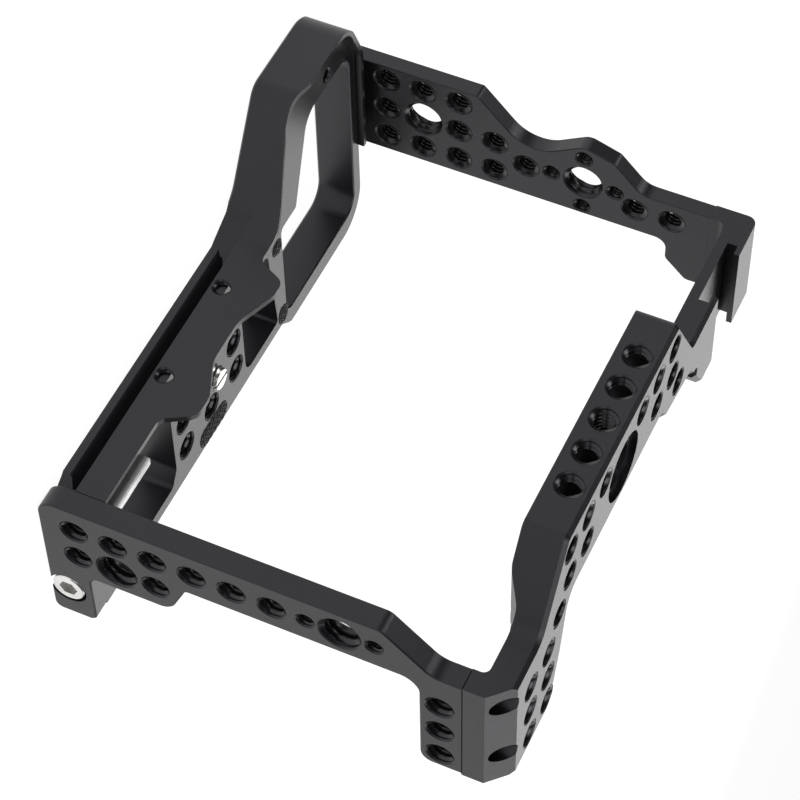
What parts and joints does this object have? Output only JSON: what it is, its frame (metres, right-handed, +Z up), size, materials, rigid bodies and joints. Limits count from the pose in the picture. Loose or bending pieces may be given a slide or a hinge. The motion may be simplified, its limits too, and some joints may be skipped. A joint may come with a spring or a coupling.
{
  "type": "camera cage",
  "caption": "Open frame of bolted plates that surrounds a camera body, with threaded accessory holes, a cold shoe, a dovetail foot, a grip loop and a camera screw.",
  "frame": {"origin": "axis of the camera screw, on the deck that the camera stands on", "axes": "+X to the side plate with the foot screw, +Y to the rear, +Z up along the camera screw"},
  "size_m": [0.1484, 0.0716, 0.1105],
  "materials": {
    "black_anodised": "fine bead-blasted black anodised",
    "bright_steel": "bright stainless",
    "dowel_steel": "ground",
    "black_steel": "black oxide",
    "nylon": "moulded",
    "rubber": "grained",
    "magnet": "nickel plated"
  },
  "bodies": {
    "cage": {"base_plate": "black_anodised", "left_side_plate": "black_anodised", "right_side_plate": "black_anodised", "top_plate": "black_anodised", "left_foot_screw": "bright_steel", "left_foot_dowels": "dowel_steel", "right_foot_screws": "black_steel", "right_foot_dowels": "dowel_steel", "top_left_screws": "black_steel", "top_left_dowels": "dowel_steel", "top_right_screws": "black_steel", "deck_pad_rear": "rubber", "deck_pad_corner": "rubber", "deck_pad_front": "rubber", "key_magnets": "magnet"},
    "screw_carrier": {"camera_screw_washer": "nylon"},
    "screw": {"camera_screw": "bright_steel"},
    "key": {"stowed_key": "bright_steel"}
  },
  "joints": [
    {"name": "screw_climb", "type": "slide", "parent": "cage", "child": "screw_carrier", "axis": [0, 0, 1], "range_m": [0, 0.00254]},
    {"name": "screw_turn", "type": "hinge", "parent": "screw_carrier", "child": "screw", "pos_m": [0, 0, 0], "axis": [0, 0, 1], "range_deg": [0, 720]},
    {"name": "key_lift", "type": "slide", "parent": "cage", "child": "key", "axis": [0, 0, 1], "range_m": [0, 0.03]}
  ],
  "couplings": [
    {"joint": "screw_turn", "follows": "screw_climb", "rad_per_m": 4947.4}
  ]
}
